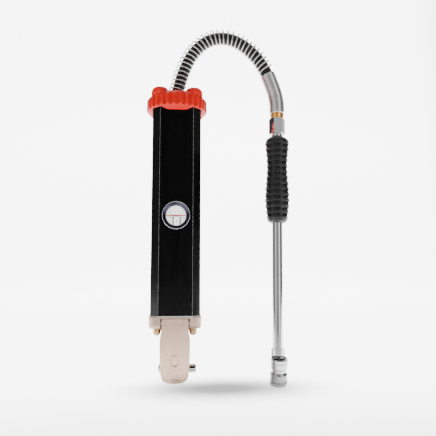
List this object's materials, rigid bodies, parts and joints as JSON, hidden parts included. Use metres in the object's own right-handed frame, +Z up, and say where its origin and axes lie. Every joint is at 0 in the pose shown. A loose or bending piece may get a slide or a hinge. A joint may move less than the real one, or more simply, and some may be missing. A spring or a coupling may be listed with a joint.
{
  "type": "tyre inflator gun",
  "caption": "Hand-held tyre inflator with a square black body, round gauge window, squeeze lever, and a spring-guarded hose to a wand with a double-ended tyre chuck.",
  "frame": {"origin": "centre of the air inlet's mouth, in the plane of the gun's foot, on the gun body's long axis", "axes": "+Z up the gun body towards the hose, +X towards the wand, -Y out of the gauge window and the lever"},
  "size_m": [0.1441, 0.0693, 0.3559],
  "materials": {
    "black_anodised": "gloss black anodised extrusion",
    "dark_bezel": "dark anodised, bright edge",
    "clear_lens": "clear moulded lens",
    "seal_rubber": "smooth black nitrile",
    "red_print": "red pointer",
    "nickel_casting": "satin nickel-plated casting",
    "nickel_pressing": "satin nickel-plated pressed steel",
    "gasket_fibre": "pale gasket sheet",
    "plated_screw": "worn yellow-plated screws",
    "steel_pin": "turned steel",
    "brass": "turned brass",
    "chrome": "polished chrome plate",
    "satin_chrome": "knurled chrome plate",
    "cast_aluminium": "as-cast",
    "white_plastic": "white moulded plastic with a printed scale",
    "spring_steel": "bright drawn wire",
    "red_rubber": "bright orange-red moulded rubber",
    "hose_rubber": "black hose cover",
    "grip_rubber": "moulded black rubber"
  },
  "bodies": {
    "gun": {"body_tube": "black_anodised", "window_bezel": "dark_bezel", "window_lens": "clear_lens", "lens_seal": "seal_rubber", "pointer_line": "red_print", "head_casting": "nickel_casting", "head_gasket": "gasket_fibre", "head_screws": "plated_screw", "lever_pin": "steel_pin", "valve_seat": "brass", "plunger_o_ring": "seal_rubber", "valve_spring": "spring_steel", "rear_valve_cap": "nickel_casting", "side_plug": "chrome", "bleed_screw": "chrome", "inlet_screen": "brass", "gauge_cylinder": "brass", "rod_bush": "white_plastic", "gauge_spring": "spring_steel", "transfer_tube": "brass", "top_gasket": "gasket_fibre", "top_cap": "cast_aluminium", "top_screws": "steel_pin", "hose_fitting": "brass", "rubber_boot": "red_rubber", "hose": "hose_rubber", "spring_guard": "spring_steel"},
    "lever": {"squeeze_lever": "nickel_pressing"},
    "valve": {"valve_plunger": "brass", "valve_disc": "seal_rubber"},
    "gauge": {"gauge_piston": "brass", "piston_cup_seal": "seal_rubber", "scale_drum": "white_plastic"},
    "wand": {"spring_sleeve": "spring_steel", "hose_ferrule": "brass", "wand_nut": "chrome", "wand_tube": "chrome", "hand_grip": "grip_rubber", "chuck_body": "chrome", "chuck_nut": "satin_chrome", "upper_seal": "seal_rubber", "lower_seal": "seal_rubber", "upper_pin_spring": "spring_steel", "lower_pin_spring": "spring_steel"},
    "upper_depressor": {"upper_pin": "steel_pin"},
    "lower_depressor": {"lower_pin": "steel_pin"}
  },
  "joints": [
    {"name": "lever_pivot", "type": "hinge", "parent": "gun", "child": "lever", "pos_m": [0, -0.01, 0.0575], "axis": [1, 0, 0], "range_deg": [0, 7], "stiffness_Nm_per_rad": 4, "springref_deg": -2.86},
    {"name": "valve_travel", "type": "slide", "parent": "gun", "child": "valve", "axis": [0, 1, 0], "range_m": [0, 0.0046], "deforming": ["valve_spring"]},
    {"name": "gauge_travel", "type": "slide", "parent": "gun", "child": "gauge", "axis": [0, 0, 1], "range_m": [0, 0.06], "stiffness_N_per_m": 120, "springref_m": -0.02, "deforming": ["gauge_spring"]},
    {"name": "hose_flex", "type": "hinge", "parent": "gun", "child": "wand", "pos_m": [0.06, -0.005, 0.335], "axis": [0, -1, 0], "range_deg": [0, 45], "stiffness_Nm_per_rad": 0.35, "deforming": ["hose", "spring_guard"]},
    {"name": "upper_pin_travel", "type": "slide", "parent": "wand", "child": "upper_depressor", "axis": [0, 0.2079, -0.9781], "range_m": [0, 0.0015], "stiffness_N_per_m": 400, "springref_m": -0.001, "deforming": ["upper_pin_spring"]},
    {"name": "lower_pin_travel", "type": "slide", "parent": "wand", "child": "lower_depressor", "axis": [0, -0.2079, 0.9781], "range_m": [0, 0.0015], "stiffness_N_per_m": 400, "springref_m": -0.001, "deforming": ["lower_pin_spring"]}
  ],
  "couplings": [
    {"joint": "valve_travel", "follows": "lever_pivot", "m_per_rad": 0.0365}
  ]
}
